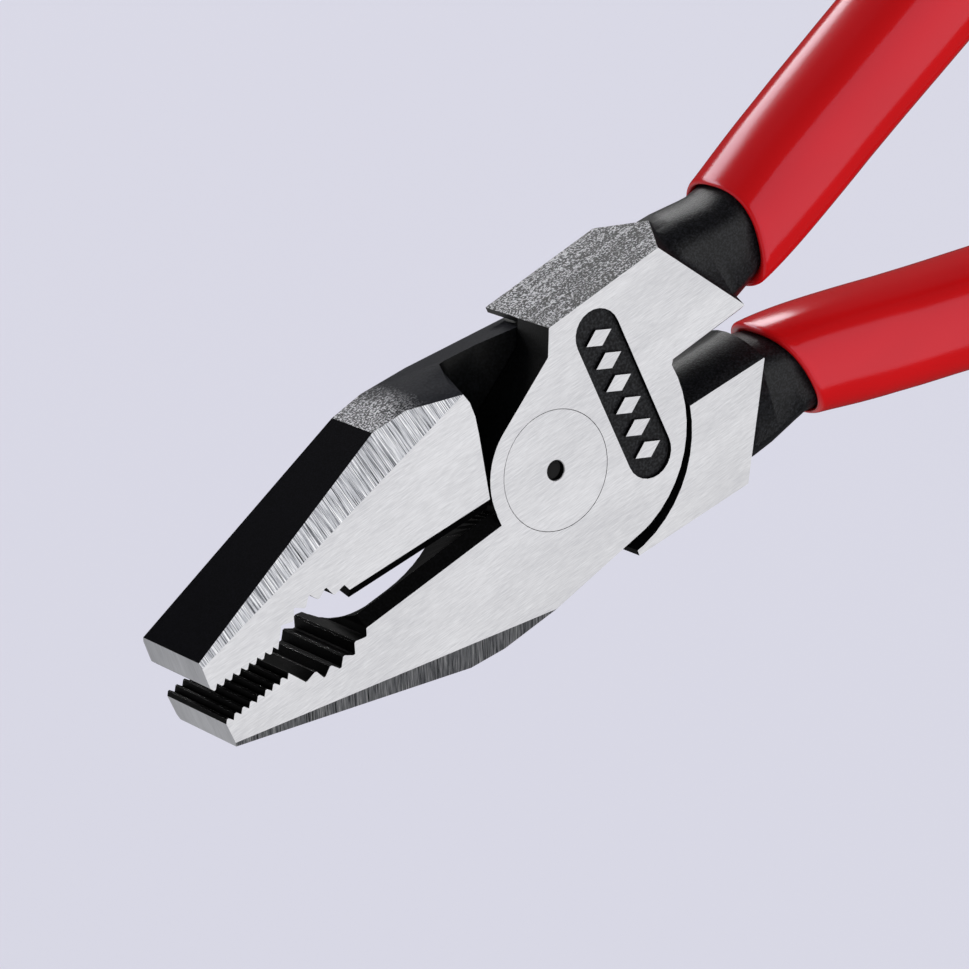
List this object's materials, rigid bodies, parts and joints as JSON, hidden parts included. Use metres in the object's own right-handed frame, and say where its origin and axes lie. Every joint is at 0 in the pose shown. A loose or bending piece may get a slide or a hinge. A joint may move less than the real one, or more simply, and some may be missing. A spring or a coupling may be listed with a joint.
{
  "type": "lineman pliers",
  "caption": "Heavy combination pliers with a bevelled jaw, pipe grip and side cutter on a lap joint, and long plastic-dipped handles.",
  "frame": {"origin": "on the axis of the pivot rivet, at the back face of the head", "axes": "+X along the tool from the rivet to the jaw tips, +Y towards the jaw of the front half, +Z along the rivet's axis out of the front face"},
  "size_m": [0.2244, 0.0708, 0.0152],
  "materials": {
    "forged_steel": "ground bright on the front and back faces, black oxide elsewhere",
    "rivet_steel": "ground flush with the head",
    "grip_plastic": "glossy dipped coating"
  },
  "bodies": {
    "front": {"front_half": "forged_steel", "front_grip": "grip_plastic", "pivot_rivet": "rivet_steel"},
    "rear": {"rear_half": "forged_steel", "rear_grip": "grip_plastic"}
  },
  "joints": [
    {"name": "jaw_pivot", "type": "hinge", "parent": "front", "child": "rear", "pos_m": [0, 0, 0], "axis": [0, 0, -1], "range_deg": [-4.4, 26]}
  ]
}
